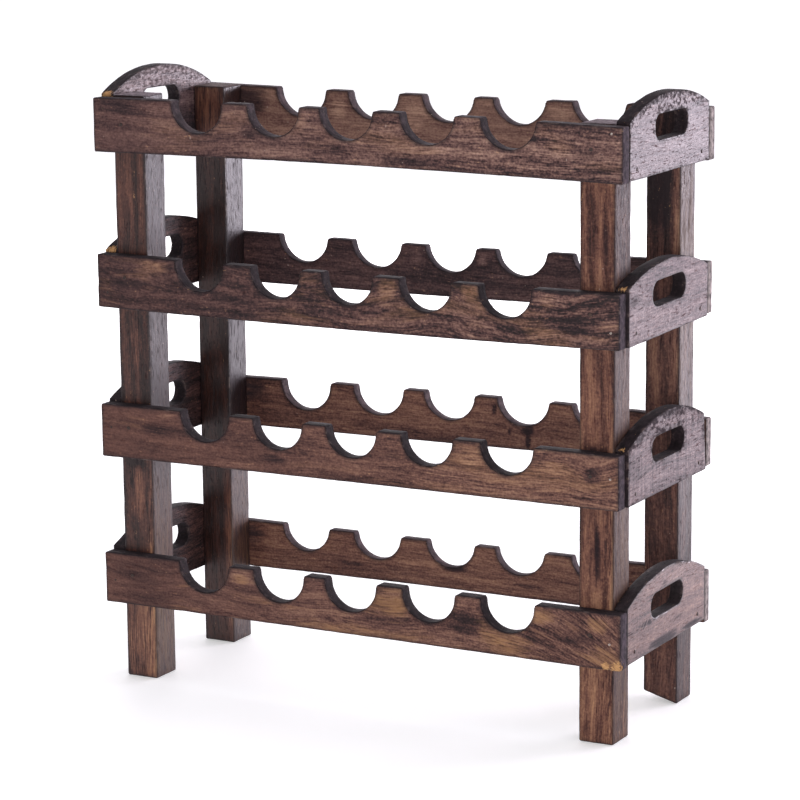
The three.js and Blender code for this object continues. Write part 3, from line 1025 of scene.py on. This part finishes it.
def add_nails():
    """The frame's nails, and one more through each rail's end into the end grain of the panel behind it."""
    stained = steel("stained_steel", STAINED_STEEL)
    rubbed = steel("rubbed_glinting_steel", RUBBED_GLINTING_STEEL)
    post_nail = nail_mesh("post_nail", POST_NAIL_RADIUS, stained)
    end_nails = {
        # The right-hand end nails are rubbed steel, partly a painted glint
        "left": nail_mesh("stained_end_nail", END_NAIL_RADIUS, stained),
        "right": nail_mesh("rubbed_glinting_end_nail", END_NAIL_RADIUS, rubbed)}
    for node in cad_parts:
        if node.endswith("_nail"):
            piece = add_nail(node + "_iron", post_nail, nail_head(node), nail_axis(node))
            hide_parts(node)
    for tier, height in enumerate(END_NAIL_HEIGHTS, 1):
        for face, y_sign in FACES.items():
            board = f"tier_{tier}_{face}_rail"
            low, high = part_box(board)
            y = low.y if y_sign < 0 else high.y - thinness(board)
            for side, x_sign in SIDES.items():
                head = Vector((x_sign * END_NAIL_X, y, low.z + height))
                name = f"tier_{tier}_{face}_{side}_end_nail"
                add_nail(name, end_nails[side], head, Vector((0, y_sign, 0)))


# Floor, light and camera

def add_floor():
    mesh = bpy.data.meshes.new("floor")
    corners = [(x * FLOOR_REACH, y * FLOOR_REACH, 0) for x, y in ((-1, -1), (1, -1), (1, 1), (-1, 1))]
    mesh.from_pydata(corners, [], [(0, 1, 2, 3)])
    made, n, shader = new_material("floor_paint")
    seen = n.add("ShaderNodeLightPath").outputs["Is Camera Ray"]
    n.feed(shader, {
        "Base Color": FLOOR.tint,
        "Roughness": FLOOR.roughness,
        "Specular IOR Level": FLOOR.shine,
        "Emission Color": FLOOR.glow_tint,
        "Emission Strength": n.maths("MULTIPLY_ADD", seen, FLOOR.seen_glow, FLOOR.glow)})
    mesh.materials.append(made)
    floor = new_object("floor", mesh)


def add_softbox(name, position, target, size, power, tint):
    light = bpy.data.lights.new(name, "AREA")
    light.shape = "RECTANGLE"
    light.size, light.size_y = size
    light.energy = power
    light.color = tint
    lamp = new_object(name, light)
    lamp.location = position
    lamp.visible_camera = False
    lamp.rotation_euler = (Vector(target) - Vector(position)).to_track_quat("-Z", "Y").to_euler()


def add_lights():
    """A room bright behind and above and dimmer in front, plain white where it is seen, and softboxes."""
    world = bpy.data.worlds.new("studio")
    bpy.context.scene.world = world
    world.use_nodes = True
    world.node_tree.nodes.clear()
    n = Nodes(world.node_tree)
    direction = n.add("ShaderNodeTexCoord").outputs["Generated"]
    axes = n.add("ShaderNodeSeparateXYZ", {0: direction}).outputs
    depth_glow = n.remap(axes["Y"], ROOM_DEPTH.span, *ROOM_DEPTH.glow)
    glow = n.maths("ADD", depth_glow, n.remap(axes["Z"], ROOM_TOP.span, *ROOM_TOP.glow))
    lighting = n.add("ShaderNodeBackground", {"Color": ROOM_TINT, "Strength": glow}).outputs[0]
    shown = n.add("ShaderNodeBackground", {"Color": (1, 1, 1, 1), "Strength": 1.0}).outputs[0]
    seen = n.add("ShaderNodeLightPath").outputs["Is Camera Ray"]
    both = n.add("ShaderNodeMixShader", {0: seen, 1: lighting, 2: shown}).outputs[0]
    n.add("ShaderNodeOutputWorld", {"Surface": both})
    for name, softbox in SOFTBOXES.items():
        add_softbox(name, **softbox)
    bpy.context.scene.view_settings.view_transform = "Standard"


def add_camera():
    """The photograph's view, from the right and a little above."""
    azimuth, elevation, roll = map(math.radians, (CAMERA.azimuth, CAMERA.elevation, CAMERA.roll))
    level = math.cos(elevation)
    back = Vector((math.sin(azimuth) * level, -math.cos(azimuth) * level, math.sin(elevation)))
    right = Vector((math.cos(azimuth), math.sin(azimuth), 0))
    up = back.cross(right)
    turned = math.cos(roll) * right + math.sin(roll) * up
    risen = -math.sin(roll) * right + math.cos(roll) * up
    place = [target + CAMERA.distance * step for target, step in zip(CAMERA.target, back)]
    data = bpy.data.cameras.new("photo_camera")
    data.sensor_width = SENSOR_WIDTH
    data.lens = CAMERA.focal_pixels / IMAGE_PIXELS * SENSOR_WIDTH
    camera = new_object("photo_camera", data)
    camera.matrix_world = Matrix([*zip(turned, risen, back, place), (0, 0, 0, 1)])
    bpy.context.scene.camera = camera


add_boards()
add_nails()
add_floor()
add_lights()
add_camera()
